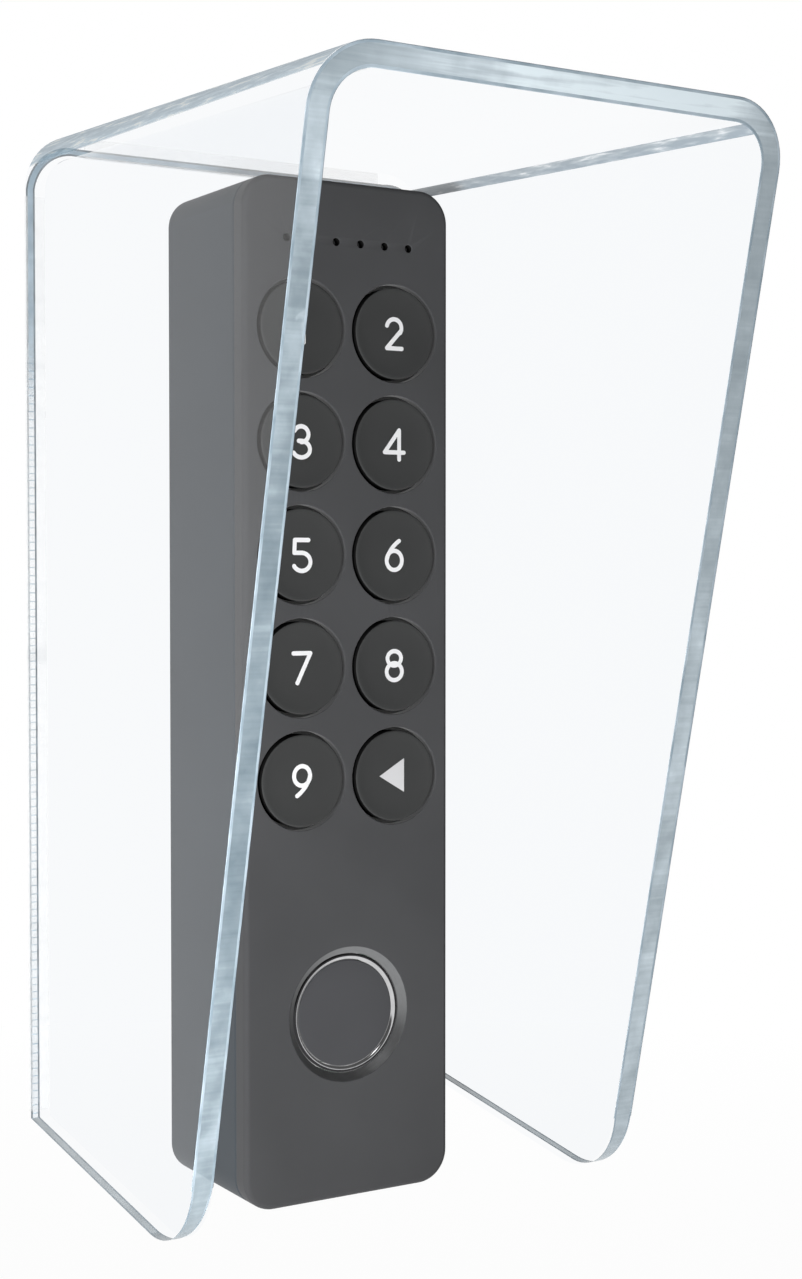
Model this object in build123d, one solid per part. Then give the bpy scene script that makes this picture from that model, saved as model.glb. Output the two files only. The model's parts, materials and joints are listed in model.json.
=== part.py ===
from build123d import *
import os

# Clear rain hood over a slim ten-key door keypad, both on one wall.
# X runs to the right as seen from the front, Z runs up, and the front faces -Y.
# The wall is the plane Y = 0. Every depth below is a distance from the wall towards the front.
# The origin is on the wall, on the hood's centre line, level with the hood's lower rear corners.

# Rain hood: one sheet, bent twice
sheet = 3.0
hood_width = 66.0
hood_height = 138.0
hood_depth_top = 83.0
hood_depth_bottom = 50.3
hood_top_fall = 4.5
hood_bottom_fall = 6.7
hood_bend_inner_radius = 5.0
hood_corner_radius = 11.0
tape_thickness = 0.5
tape_width = 2.8
tape_end_margin = 1.0

# Keypad outline and where it stands on the wall
keypad_width = 32.8
keypad_height = 142.0
keypad_depth = 24.0
keypad_corner_radius = 4.5
keypad_x = 5.3
keypad_under_hood = 4.1
keypad_front_chamfer = 0.6

# Front cover
cover_depth = 3.0
cover_face = 1.4
cover_wall = 1.3
seam_chamfer = 0.25

# Rear case
case_wall = 1.8
case_wall_gap = 0.4
case_back = 1.2
bay_floor = 1.0
end_floor = 5.2
joint_clearance = 0.3
gasket_inset = 0.45
gasket_play = 0.05
gasket_depth = 0.7

# Wall plate, its pad, and the hooks that carry the keypad
pad_thickness = 0.6
pad_margin = 1.2
pad_gap = 8.0
plate_thickness = 1.6
lift_travel = 2.2
hook_width = 6.0
hook_stem = 2.6
hook_lip = 1.9
hook_lip_thickness = 1.2
hook_spacing_x = 10.0
hook_bay_margin = 2.6
hook_clearance = 0.3
wall_screw_radius = 2.1
wall_screw_spacing = 80.0
countersink_radius = 3.4
countersink_depth = 0.9

# Keys
key_rows = 5
key_side_margin = 2.05
key_top_margin = 13.6
key_bridge_x = 1.1
key_bridge_z = 1.8
key_gap = 0.3
key_travel = 0.4
key_proud = 0.2
key_dish = 0.2
key_tab_reach = 0.3
key_tab_width = 4.0
key_tab_thickness = 0.9
key_tab_play = 0.1

# Status lights
light_count = 6
light_pitch = 3.9
light_from_top = 8.4
light_hole_radius = 0.55
guide_height = 1.8
guide_end = 1.6
guide_thickness = 2.0
guide_boss_clearance = 0.5
led_size = 1.0
led_thickness = 0.5

# Fingerprint sensor
sensor_from_bottom = 25.9
sensor_radius = 7.6
bezel_width = 0.8
bezel_clearance = 0.1
bezel_rise = 0.2
sensor_recess = 1.1
recess_flare = 1.0
sensor_thickness = 1.9
collar_wall = 1.2
sensor_board_size = 17.0
sensor_board_thickness = 0.8
connector_length = 9.0
connector_width = 3.0
connector_height = 0.4

# Circuit board, key mat and what is on them
board_thickness = 1.0
board_clearance = 0.3
board_corner = 1.5
mat_thickness = 0.8
mat_clearance = 0.35
mat_margin_z = 7.2
mat_post_size = 4.0
mat_channel_width = 6.0
mat_channel_depth = 0.4
mat_press_gap = 0.1
switch_size = 5.0
switch_height = 0.25
switch_slope = 60
module_width = 11.0
module_height = 12.0
module_thickness = 2.2
module_chamfer = 0.4
buzzer_radius = 4.5
buzzer_thickness = 1.8
buzzer_drop = 1.5

# Case screws
screw_inset_x = 5.0
screw_radius = 0.95
screw_hole_radius = 1.2
screw_pilot_radius = 1.05
screw_head_radius = 1.9
screw_head_height = 1.2
screw_socket_radius = 0.7
screw_bore_radius = 2.1
screw_seat = 2.0
boss_size = 4.2
post_size = 5.6
screw_tip_gap = 0.4

# Batteries: two columns of two AAA cells
cell_radius = 5.25
cell_length = 44.5
cell_nub_radius = 1.9
cell_nub_height = 0.8
cell_clearance = 0.2
contact_thickness = 0.4
leaf_height = 2.1
leaf_sheet = 0.3
leaf_width = 5.0
contact_width = 8.0
contact_depth = 8.5
leaf_foot = 3.0
bay_divider = 1.2
bay_wall = 1.2
channel_floor = 1.2
bay_cover_thickness = 1.0
bay_cover_ledge = 1.1
bay_cover_clearance = 0.15
bay_notch_radius = 3.0

# Worked out from the sizes above
keypad_top = hood_height - sheet - keypad_under_hood
keypad_bottom = keypad_top - keypad_height
keypad_middle = keypad_bottom + keypad_height / 2
seam_depth = keypad_depth - cover_depth
face_back = keypad_depth - cover_face
plate_front = pad_thickness + plate_thickness
back_start = plate_front + joint_clearance
back_end = back_start + case_back
case_inner_width = keypad_width - 2 * case_wall
case_inner_height = keypad_height - 2 * case_wall
case_inner_radius = keypad_corner_radius - case_wall
cell_centre_depth = back_end + cell_clearance / 2 + cell_radius
floor_start = cell_centre_depth + cell_radius + cell_clearance
floor_end = floor_start + bay_floor
end_floor_depth = back_start + end_floor
key_opening = (keypad_width - 2 * key_side_margin - key_bridge_x) / 2
key_radius = key_opening / 2 - key_gap
key_pitch_x = key_opening + key_bridge_x
key_pitch_z = key_opening + key_bridge_z
first_row_z = keypad_top - key_top_margin - key_opening / 2
tab_front = face_back - key_tab_play
key_back = tab_front - key_tab_thickness
sensor_front = keypad_depth - sensor_recess
sensor_back = sensor_front - sensor_thickness
sensor_z = keypad_bottom + sensor_from_bottom
bezel_radius = sensor_radius + bezel_width
bezel_front = sensor_front + bezel_rise
recess_radius = bezel_radius + bezel_clearance + recess_flare
board_front = sensor_back - sensor_board_thickness - connector_height
board_back = board_front - board_thickness
mat_front = board_front + mat_thickness
post_front = key_back - key_travel - mat_press_gap
cell_spare = case_inner_width / 2 - bay_wall - cell_clearance - 2 * cell_radius
cell_column = cell_radius + cell_spare / 2
bay_half_width = cell_column + cell_radius + cell_clearance
cell_row = cell_length + leaf_height + 2 * contact_thickness + cell_clearance
bay_height = 2 * cell_row + bay_divider
light_z = keypad_height / 2 - light_from_top
screw_x = keypad_width / 2 - screw_inset_x
screw_z = light_z + guide_height / 2 + guide_boss_clearance + boss_size / 2
hook_slot_start = bay_height / 2 + bay_cover_ledge + hook_bay_margin
hook_z = hook_slot_start + hook_clearance + lift_travel + hook_stem
screw_seat_depth = floor_end - screw_seat
pilot_end = face_back - screw_tip_gap


def slab(outline, back, front, x=0, z=0):
    """A flat outline, seen from the front, given thickness between two depths."""
    sketch = Plane.XZ.offset(back) * (Pos(x, z) * outline)
    return extrude(sketch, amount=front - back)


def keypad_slab(outline, back, front, x=0, z=0):
    """The same, placed from the middle of the keypad."""
    return slab(outline, back, front, keypad_x + x, keypad_middle + z)


def corners(x, z):
    """The four places at plus and minus x and z."""
    return [(side * x, end * z) for side in (-1, 1) for end in (-1, 1)]


def key_places():
    """Each key's name and place, from the middle of the keypad, row by row."""
    places = []
    for row in range(key_rows):
        z = first_row_z - row * key_pitch_z - keypad_middle
        for column, side in enumerate((-1, 1)):
            number = 2 * row + column + 1
            name = str(number) if number < 2 * key_rows else "arrow"
            places.append((name, side * key_pitch_x / 2, z))
    return places


def hood_profile():
    """The bent sheet's U, square across its fall, with legs that run past the lower edges."""
    reach = 3 * hood_height
    inner_width = hood_width - 2 * sheet
    outer = RectangleRounded(hood_width, reach, hood_bend_inner_radius + sheet)
    inner = RectangleRounded(inner_width, reach, hood_bend_inner_radius)
    lower_half = Pos(0, -reach) * Rectangle(2 * hood_width, reach)
    return Pos(0, -reach / 2) * outer - Pos(0, -reach / 2 - sheet) * inner - lower_half


def hood_side_outline():
    """The hood's side, seen along X: upright behind, slanted in front, rounded below."""
    rear = -tape_thickness
    low_front = (-hood_depth_bottom, -hood_bottom_fall)
    high_front = (-hood_depth_top, hood_height - hood_top_fall)
    slant = (high_front[0] - low_front[0]) / (high_front[1] - low_front[1])
    above = hood_height + sheet
    top_front = (high_front[0] + slant * (above - high_front[1]), above)
    outline = make_face(Polyline((rear, 0), low_front, top_front, (rear, above), close=True))
    corner = outline.vertices().sort_by(Axis.Y)[0]
    return fillet(corner, hood_corner_radius)


def rain_hood():
    """Both bends run along the fall of the top, and one flat cut trims each open side."""
    run = hood_depth_top - tape_thickness
    rear_top = (0, -tape_thickness, hood_height)
    across_fall = Plane(rear_top, x_dir=(1, 0, 0), z_dir=(0, -run, -hood_top_fall))
    channel = extrude(across_fall * hood_profile(), amount=2 * hood_depth_top, both=True)
    side = Plane.YZ.offset(-hood_width) * hood_side_outline()
    return channel & extrude(side, amount=2 * hood_width)


def hood_tape_side(side):
    bend = hood_bend_inner_radius + sheet
    length = hood_height - bend - 2 * tape_end_margin
    x = side * (hood_width - sheet) / 2
    strip = Rectangle(tape_width, length)
    return slab(strip, 0, tape_thickness, x, tape_end_margin + length / 2)


def hood_tape_top():
    bend = hood_bend_inner_radius + sheet
    length = hood_width - 2 * bend - 2 * tape_end_margin
    strip = Rectangle(length, tape_width)
    return slab(strip, 0, tape_thickness, 0, hood_height - sheet / 2)


def wall_plate_outline(margin=0):
    """The plate hangs under the case's recess, which slides up past it."""
    width = case_inner_width - 2 * joint_clearance - 2 * margin
    height = case_inner_height - 2 * joint_clearance - lift_travel - 2 * margin
    radius = case_inner_radius - joint_clearance
    return RectangleRounded(width, height, radius)


def hook_places():
    return corners(hook_spacing_x / 2, hook_z)


def wall_screw_places():
    return [(0, -wall_screw_spacing / 2), (0, wall_screw_spacing / 2)]


def wall_plate():
    plate = keypad_slab(wall_plate_outline(), pad_thickness, plate_front, 0, lift_travel / 2)
    lip_start = back_end + hook_clearance
    lip_end = lip_start + hook_lip_thickness
    for x, z in hook_places():
        stem = Rectangle(hook_width, hook_stem)
        plate += keypad_slab(stem, plate_front, lip_end, x, z - hook_stem / 2)
        lip = Rectangle(hook_width, hook_lip)
        plate += keypad_slab(lip, lip_start, lip_end, x, z + hook_lip / 2)
    for x, z in wall_screw_places():
        plate -= keypad_slab(Circle(wall_screw_radius), pad_thickness, plate_front, x, z)
        sink_plane = Plane.XZ.offset(plate_front - countersink_depth)
        sink_start = sink_plane * (Pos(keypad_x + x, keypad_middle + z) * Circle(wall_screw_radius))
        mouth = Plane.XZ.offset(plate_front)
        sink_end = mouth * (Pos(keypad_x + x, keypad_middle + z) * Circle(countersink_radius))
        plate -= loft([sink_start.face(), sink_end.face()])
    return plate


def wall_plate_pad():
    """Three strips of foam tape, which leave both screw holes free."""
    pad = keypad_slab(wall_plate_outline(pad_margin), 0, pad_thickness, 0, lift_travel / 2)
    for x, z in wall_screw_places():
        pad -= keypad_slab(Rectangle(keypad_width, pad_gap), 0, pad_thickness, x, z)
    return Compound(children=pad.solids())


def keypad_outline(inset=0):
    width = keypad_width - 2 * inset
    height = keypad_height - 2 * inset
    return RectangleRounded(width, height, keypad_corner_radius - inset)


def front_cover():
    cover = keypad_slab(keypad_outline(), seam_depth, keypad_depth)
    front_edges = cover.faces().sort_by(Axis.Y)[0].edges()
    cover = chamfer(front_edges, keypad_front_chamfer)
    seam_edges = cover.faces().sort_by(Axis.Y)[-1].edges()
    cover = chamfer(seam_edges, seam_chamfer)
    cover -= keypad_slab(keypad_outline(cover_wall), seam_depth, face_back)
    collar_size = 2 * (bezel_radius + bezel_clearance + collar_wall)
    collar = Rectangle(collar_size, collar_size)
    sensor_height = sensor_z - keypad_middle
    cover += keypad_slab(collar, sensor_back, face_back, 0, sensor_height)
    opening = Circle(bezel_radius + bezel_clearance)
    cover -= keypad_slab(opening, sensor_back, keypad_depth, 0, sensor_height)
    narrow = Plane.XZ.offset(bezel_front) * (Pos(keypad_x, sensor_z) * opening)
    wide = Plane.XZ.offset(keypad_depth) * (Pos(keypad_x, sensor_z) * Circle(recess_radius))
    cover -= loft([narrow.face(), wide.face()])
    for name, x, z in key_places():
        cover -= keypad_slab(Circle(key_opening / 2), face_back, keypad_depth, x, z)
    for x, z in light_places():
        cover -= keypad_slab(Circle(light_hole_radius), face_back, keypad_depth, x, z)
    for x, z in corners(screw_x, screw_z):
        cover += keypad_slab(Rectangle(boss_size, boss_size), board_front, face_back, x, z)
    for x, z in screw_places():
        cover -= keypad_slab(Circle(screw_pilot_radius), board_front, pilot_end, x, z)
    return cover


def light_places():
    """The row of status lights, from the middle of the keypad."""
    first = -(light_count - 1) / 2 * light_pitch
    return [(first + index * light_pitch, light_z) for index in range(light_count)]


def screw_places():
    """Two screws on a diagonal close the case."""
    return [(-screw_x, screw_z), (screw_x, -screw_z)]


def gasket_outline(inset, play=0):
    outer = keypad_outline(inset + play)
    width = case_wall - 2 * inset - 2 * play
    return outer - keypad_outline(inset + play + width)


def bay_outline():
    return Rectangle(2 * bay_half_width, bay_height)


def rear_case():
    case = keypad_slab(keypad_outline(), case_wall_gap, seam_depth)
    seam_edges = case.faces().sort_by(Axis.Y)[0].edges()
    case = chamfer(seam_edges, seam_chamfer)
    inner = keypad_outline(case_wall)
    case -= keypad_slab(inner, case_wall_gap, back_start)
    case -= keypad_slab(inner, floor_end, seam_depth)
    case -= keypad_slab(bay_outline(), back_start, floor_start)
    ledge = cover_pocket_outline()
    case -= keypad_slab(ledge, back_start, back_start + bay_cover_thickness + bay_cover_clearance)
    case -= end_cavities(inner)
    case -= wire_channels()
    divider = Rectangle(2 * bay_half_width, bay_divider)
    case += keypad_slab(divider, back_end, floor_start)
    for x, z in hook_places():
        case -= hook_pocket(x, z)
    for x, z in corners(screw_x, screw_z):
        case += keypad_slab(Rectangle(post_size, post_size), end_floor_depth, board_back, x, z)
    for x, z in screw_places():
        case -= keypad_slab(Circle(screw_bore_radius), back_start, screw_seat_depth, x, z)
        case -= keypad_slab(Circle(screw_hole_radius), screw_seat_depth, board_back, x, z)
    groove = gasket_outline(gasket_inset)
    case -= keypad_slab(groove, seam_depth - gasket_depth, seam_depth)
    return case


def cover_pocket_outline():
    width = 2 * bay_half_width + 2 * bay_cover_ledge
    height = bay_height + 2 * bay_cover_ledge
    return Rectangle(width, height)


def end_cavities(inner):
    """The deep spaces above and below the battery bay, open to the front."""
    deep = keypad_slab(inner, end_floor_depth, floor_end)
    kept_height = bay_height + 2 * bay_wall
    kept = keypad_slab(Rectangle(keypad_width, kept_height), end_floor_depth, floor_end)
    return deep - kept


def wire_channels():
    """Narrow channels beside the bay, which carry its wires to the board."""
    width = case_inner_width / 2 - bay_half_width - bay_wall
    x = bay_half_width + bay_wall + width / 2
    back = back_end + channel_floor
    both = keypad_slab(Rectangle(width, bay_height), back, floor_end, x, 0)
    return both + keypad_slab(Rectangle(width, bay_height), back, floor_end, -x, 0)


def hook_pocket(x, z):
    """A slot tall enough to pass the hook's lip, and the space above that the lip moves in."""
    width = hook_width + 2 * hook_clearance
    slot_top = z + hook_clearance
    slot_bottom = z - hook_stem - lift_travel - hook_clearance
    slot = Rectangle(width, slot_top - slot_bottom)
    deep_end = back_end + 2 * hook_clearance + hook_lip_thickness
    pocket = keypad_slab(slot, back_start, deep_end, x, (slot_top + slot_bottom) / 2)
    lip_top = z + hook_lip + hook_clearance
    lip = Rectangle(width, lip_top - slot_bottom)
    return pocket + keypad_slab(lip, back_end, deep_end, x, (lip_top + slot_bottom) / 2)


def case_gasket():
    ring = gasket_outline(gasket_inset, gasket_play)
    return keypad_slab(ring, seam_depth - gasket_depth, seam_depth)


def circuit_board():
    width = case_inner_width - 2 * board_clearance
    height = case_inner_height - 2 * board_clearance
    outline = chamfer(Rectangle(width, height).vertices(), board_corner)
    board = keypad_slab(outline, board_back, board_front)
    for x, z in screw_places():
        board -= keypad_slab(Circle(screw_hole_radius), board_back, board_front, x, z)
    return board


def key_mat():
    """Silicone, with a post under each key and an air channel under each column of posts."""
    middle = first_row_z - (key_rows - 1) * key_pitch_z / 2 - keypad_middle
    width = case_inner_width - 2 * mat_clearance
    height = (key_rows - 1) * key_pitch_z + 2 * mat_margin_z
    mat = keypad_slab(Rectangle(width, height), board_front, mat_front, 0, middle)
    for name, x, z in key_places():
        mat += keypad_slab(Rectangle(mat_post_size, mat_post_size), mat_front, post_front, x, z)
    channel = Rectangle(mat_channel_width, height - mat_margin_z)
    for x in (-key_pitch_x / 2, key_pitch_x / 2):
        mat -= keypad_slab(channel, board_front, board_front + mat_channel_depth, x, middle)
    return mat


def contact_domes():
    """The four-legged metal snap domes under the mat, one under each key."""
    domes = []
    for name, x, z in key_places():
        base = Pos(keypad_x + x, keypad_middle + z) * Rectangle(switch_size, switch_size)
        dome = extrude(Plane.XZ.offset(board_front) * base, amount=switch_height, taper=switch_slope)
        domes.append(dome.solid())
    return Compound(children=domes)


def radio_module():
    can = keypad_slab(Rectangle(module_width, module_height), board_back - module_thickness,
                      board_back, 0, light_z - module_height / 4)
    return chamfer(can.faces().sort_by(Axis.Y)[-1].edges(), module_chamfer)


def buzzer():
    z = buzzer_drop - screw_z
    return keypad_slab(Circle(buzzer_radius), board_back - buzzer_thickness, board_back, 0, z)


def status_leds():
    leds = []
    for x, z in light_places():
        body = Rectangle(led_size, led_size)
        leds.append(keypad_slab(body, board_front, board_front + led_thickness, x, z).solid())
    return Compound(children=leds)


def light_guide():
    length = (light_count - 1) * light_pitch + 2 * guide_end
    bar = Rectangle(length, guide_height)
    return keypad_slab(bar, face_back - guide_thickness, face_back, 0, light_z)


def fingerprint_sensor():
    disc = Circle(sensor_radius - bezel_clearance)
    return keypad_slab(disc, sensor_back, sensor_front, 0, sensor_z - keypad_middle)


def sensor_bezel():
    ring = Circle(bezel_radius) - Circle(sensor_radius)
    return keypad_slab(ring, sensor_back, bezel_front, 0, sensor_z - keypad_middle)


def sensor_board():
    plate = Rectangle(sensor_board_size, sensor_board_size)
    back = sensor_back - sensor_board_thickness
    return keypad_slab(plate, back, sensor_back, 0, sensor_z - keypad_middle)


def sensor_connector():
    z = sensor_z - keypad_middle
    block = Rectangle(connector_length, connector_width)
    top = sensor_back - sensor_board_thickness
    return keypad_slab(block, board_front, top, 0, z)


def keycap(x, z):
    """A round cap with a dished face, kept in by a tab at each side behind the cover's face."""
    front = keypad_depth + key_proud
    cap = keypad_slab(Circle(key_radius), key_back, front, x, z)
    tabs = Rectangle(key_opening + 2 * key_tab_reach, key_tab_width)
    cap += keypad_slab(tabs, key_back, tab_front, x, z)
    ball = (key_radius ** 2 + key_dish ** 2) / (2 * key_dish)
    centre = (keypad_x + x, -(front - key_dish + ball), keypad_middle + z)
    return cap - Pos(*centre) * Sphere(ball)


def row_low(row):
    """The lower end of a row of cells, from the middle of the keypad."""
    return -bay_height / 2 + row * (cell_row + bay_divider)


def cell_places():
    """Each cell's column, its row's lower end, and whether its nub points up."""
    places = []
    for row in (0, 1):
        low = row_low(row)
        for column, side in enumerate((-1, 1)):
            places.append((side * cell_column, low, (row + column) % 2 == 0))
    return places


def battery_cell(x, low, nub_up):
    """The leaf spring is at the cell's flat end, so the cell lies against the other end."""
    room = cell_row - 2 * contact_thickness - cell_length
    start = low + contact_thickness + (room if nub_up else 0)
    base = Plane.XY.offset(keypad_middle + start)
    body_start = 0 if nub_up else cell_nub_height
    centre = Pos(keypad_x + x, -cell_centre_depth)
    body_length = cell_length - cell_nub_height
    body_outline = base.offset(body_start) * (centre * Circle(cell_radius))
    can = extrude(body_outline, amount=body_length)
    nub_start = body_length if nub_up else 0
    nub = base.offset(nub_start) * (centre * Circle(cell_nub_radius))
    return can + extrude(nub, amount=cell_nub_height)


def contact_plate(x, z, width):
    """A flat contact standing across the bay, z being its middle."""
    place = Pos(keypad_x + x, -cell_centre_depth, keypad_middle + z)
    return place * Box(width, contact_depth, contact_thickness)


def leaf_spring(x, z, direction):
    """A bent strip that stands on its contact and presses on the cell's flat end."""
    foot = leaf_foot
    top = leaf_foot / 2
    points = [(-foot, 0), (-top, leaf_height), (top, leaf_height), (foot, 0)]
    inner_foot = foot - leaf_sheet
    inner_top = top - leaf_sheet / 2
    inner_rise = leaf_height - leaf_sheet
    inner = [(inner_foot, 0), (inner_top, inner_rise), (-inner_top, inner_rise), (-inner_foot, 0)]
    outline = make_face(Polyline(*points, *inner, close=True))
    strip = extrude(Plane.YZ.offset(-leaf_width / 2) * outline, amount=leaf_width)
    if direction < 0:
        strip = mirror(strip, about=Plane.XY)
    return Pos(keypad_x + x, -cell_centre_depth, keypad_middle + z) * strip


def row_contacts(low, lower_end):
    """The contacts at one end of one row: a plate for each cell, with a leaf at a flat end."""
    pieces = []
    half = contact_thickness / 2
    z = low + half if lower_end else low + cell_row - half
    inward = 1 if lower_end else -1
    for x, cell_low, nub_up in cell_places():
        if cell_low != low:
            continue
        piece = contact_plate(x, z, contact_width)
        flat_end_here = nub_up == lower_end
        if flat_end_here:
            piece += leaf_spring(x, z + inward * half, inward)
        pieces.append(piece)
    return pieces


def battery_contact_outer(lower):
    """The contact at the bay's end joins both of that row's cells."""
    low = row_low(0 if lower else 1)
    first, second = row_contacts(low, lower)
    z = -bay_height / 2 + contact_thickness / 2 if lower else bay_height / 2 - contact_thickness / 2
    return first + second + contact_plate(0, z, 2 * cell_column)


def battery_contact_middle():
    pieces = row_contacts(row_low(0), False) + row_contacts(row_low(1), True)
    return Compound(children=[piece.solid() for piece in pieces])


def battery_cover():
    inset = bay_cover_clearance
    width = 2 * bay_half_width + 2 * bay_cover_ledge - 2 * inset
    height = bay_height + 2 * bay_cover_ledge - 2 * inset
    outline = Rectangle(width, height)
    cover = keypad_slab(outline, back_start, back_start + bay_cover_thickness)
    notch = Circle(bay_notch_radius)
    return cover - keypad_slab(notch, back_start, back_start + bay_cover_thickness, 0, -height / 2)


def case_screws():
    screws = []
    tip = pilot_end - screw_tip_gap
    for x, z in screw_places():
        head_back = screw_seat_depth - screw_head_height
        head = keypad_slab(Circle(screw_head_radius), head_back, screw_seat_depth, x, z)
        socket = RegularPolygon(screw_socket_radius, 6)
        head -= keypad_slab(socket, head_back, head_back + screw_head_height / 2, x, z)
        shank = keypad_slab(Circle(screw_radius), screw_seat_depth, tip, x, z)
        screws.append((head + shank).solid())
    return Compound(children=screws)


def all_parts():
    parts = {
        "rain_hood": rain_hood(),
        "hood_tape_left": hood_tape_side(-1),
        "hood_tape_right": hood_tape_side(1),
        "hood_tape_top": hood_tape_top(),
        "wall_plate": wall_plate(),
        "wall_plate_pad": wall_plate_pad(),
        "front_cover": front_cover(),
        "rear_case": rear_case(),
        "case_gasket": case_gasket(),
        "key_mat": key_mat(),
        "circuit_board": circuit_board(),
        "contact_domes": contact_domes(),
        "radio_module": radio_module(),
        "buzzer": buzzer(),
        "status_leds": status_leds(),
        "light_guide": light_guide(),
        "fingerprint_sensor": fingerprint_sensor(),
        "sensor_bezel": sensor_bezel(),
        "sensor_board": sensor_board(),
        "sensor_connector": sensor_connector(),
        "battery_contact_lower": battery_contact_outer(True),
        "battery_contact_middle": battery_contact_middle(),
        "battery_contact_upper": battery_contact_outer(False),
        "battery_cover": battery_cover(),
        "case_screws": case_screws(),
    }
    for number, (x, low, nub_up) in enumerate(cell_places(), start=1):
        parts[f"battery_cell_{number}"] = battery_cell(x, low, nub_up)
    for name, x, z in key_places():
        parts[f"keycap_{name}"] = keycap(x, z)
    return parts


os.makedirs("parts", exist_ok=True)
for node, shape in all_parts().items():
    export_step(shape, f"parts/{node}.step")
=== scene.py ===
import json
import math
import bmesh
import bpy
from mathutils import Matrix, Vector
from mathutils.geometry import delaunay_2d_cdt

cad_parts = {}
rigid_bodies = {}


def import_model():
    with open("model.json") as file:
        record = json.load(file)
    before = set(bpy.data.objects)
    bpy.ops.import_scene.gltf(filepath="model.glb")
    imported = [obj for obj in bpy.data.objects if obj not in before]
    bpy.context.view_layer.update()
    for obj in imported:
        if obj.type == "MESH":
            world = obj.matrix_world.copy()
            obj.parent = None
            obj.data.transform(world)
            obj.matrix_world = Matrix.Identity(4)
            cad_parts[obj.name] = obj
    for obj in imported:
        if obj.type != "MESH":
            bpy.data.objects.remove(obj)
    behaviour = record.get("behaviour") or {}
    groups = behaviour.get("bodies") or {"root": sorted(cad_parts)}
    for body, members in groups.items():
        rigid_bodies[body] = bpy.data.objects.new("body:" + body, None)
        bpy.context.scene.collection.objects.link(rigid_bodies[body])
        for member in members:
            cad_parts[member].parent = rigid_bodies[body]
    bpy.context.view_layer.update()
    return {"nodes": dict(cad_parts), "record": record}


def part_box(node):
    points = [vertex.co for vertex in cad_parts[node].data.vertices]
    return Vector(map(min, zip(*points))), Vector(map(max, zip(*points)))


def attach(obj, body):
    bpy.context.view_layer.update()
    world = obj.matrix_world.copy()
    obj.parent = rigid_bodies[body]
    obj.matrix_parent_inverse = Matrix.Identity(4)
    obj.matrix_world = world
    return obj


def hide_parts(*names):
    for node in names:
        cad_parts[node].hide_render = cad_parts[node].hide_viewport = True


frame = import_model()

# The looks of a clear rain hood over a slim door keypad.
# Sizes are in millimetres until a mesh is made. X runs right, Z up, and the front faces -Y.
# A depth is a distance from the wall, the plane Y = 0, towards the front.
MM = 0.001

# Hood
SHEET = 3.0
BEND_INNER = 5.0
TOP_FALL = 4.5
BOTTOM_FALL = 6.7
LOW_DEPTH = 50.3
CORNER_RADIUS = 11.0
BEND_STEPS = 14
RIM_COUNT = 2 * BEND_STEPS + 2
CORNER_STEPS = 16
EDGE_BREAK = 0.12
BEND_LINE_FROM = 53.0
BEND_LINE_TO = 74.0
OUTER_BEND_TO = 64.0
SIDE_BAND = (0.05, 0.48)
TOP_BAND = (0.58, 0.95)
FULL_BAND = (0.05, 0.95)
LINE_SHARE = 0.085
REAR_MARGIN = 0.01
REAR_KINDS = ("clear_edge", "rear_line", "rear_edge", "rear_line", "clear_edge")
FOOT_KINDS = ("clear_edge", "edge_line", "foot_edge", "edge_line", "clear_edge")
CORNER_KINDS = ("clear_edge", "edge_line", "cut_edge", "edge_line", "clear_edge")
FRONT_KINDS = ("edge_line", "edge_line", "cut_edge", "edge_line", "edge_line")

# Keypad
COVER_RADIUS = 4.5
COVER_ROUNDING = 0.8
COVER_WALL = 1.3
COVER_FACE = 1.4
SEAM_CHAMFER = 0.25
KEY_GAP = 0.3
KEY_INSET = 0.2
KEY_DISH = 0.3
KEY_RIM = 0.22
HOLE_RIM = 0.14
LIGHT_RADIUS = 0.55
LIGHT_PITCH = 3.9
LIGHT_COUNT = 6
BEZEL_CLEARANCE = 0.1
BEZEL_RIM = 0.22
BEZEL_LIP = 0.42
RECESS_FLARE = 1.0
WINDOW_RIM = 0.15
WINDOW_FLAT_SHARE = 0.6
CIRCLE_STEPS = 96
RIM_STEPS = 5
HOLE_RIM_STEPS = 3
LIGHT_STEPS = 32
DISH_STEPS = 14
KEY_BACK_CHAMFER = 0.1
KEY_SIDE_TURN = -0.4
FACE_MARGIN = 0.05

# Legends
STROKE = 0.61
HALF_WIDTH = 1.26
HALF_HEIGHT = 2.05
INK_HEIGHT = 0.012
INK_DEPTH = 0.03
STROKE_END_STEPS = 10
CURVE_STEPS = 14
ARC_LEAST_STEPS = 6
ARC_STEP_DEGREES = 7

# Meshes: MERGE and COPY_MERGE are in metres, FLAT_MERGE in millimetres, angles in degrees
MERGE = 1e-7
COPY_MERGE = 1e-6
FLAT_MERGE = 1e-6
INSIDE_ONLY = 1
SHARP_ANGLE = 30.0
COPY_SHARP_ANGLE = 25.0
BROKEN_CORNER_ANGLE = 50.0

# Looks of plastic and metal
TONE_SCALE = 45.0
TONE_SWING = 0.1
GRAIN_SCALE = 5200.0
GRAIN_DEPTH = 0.003
GRAIN_STRENGTH = 0.2
GRAIN_ROUGHNESS = 0.03
METAL_SCALE = 900.0
METAL_SWING = 0.3
METAL_DARK = 0.85
DRAWN = (1.0, 1.0, 14.0)
TURNED = (1.0, 6.0, 1.0)

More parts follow.
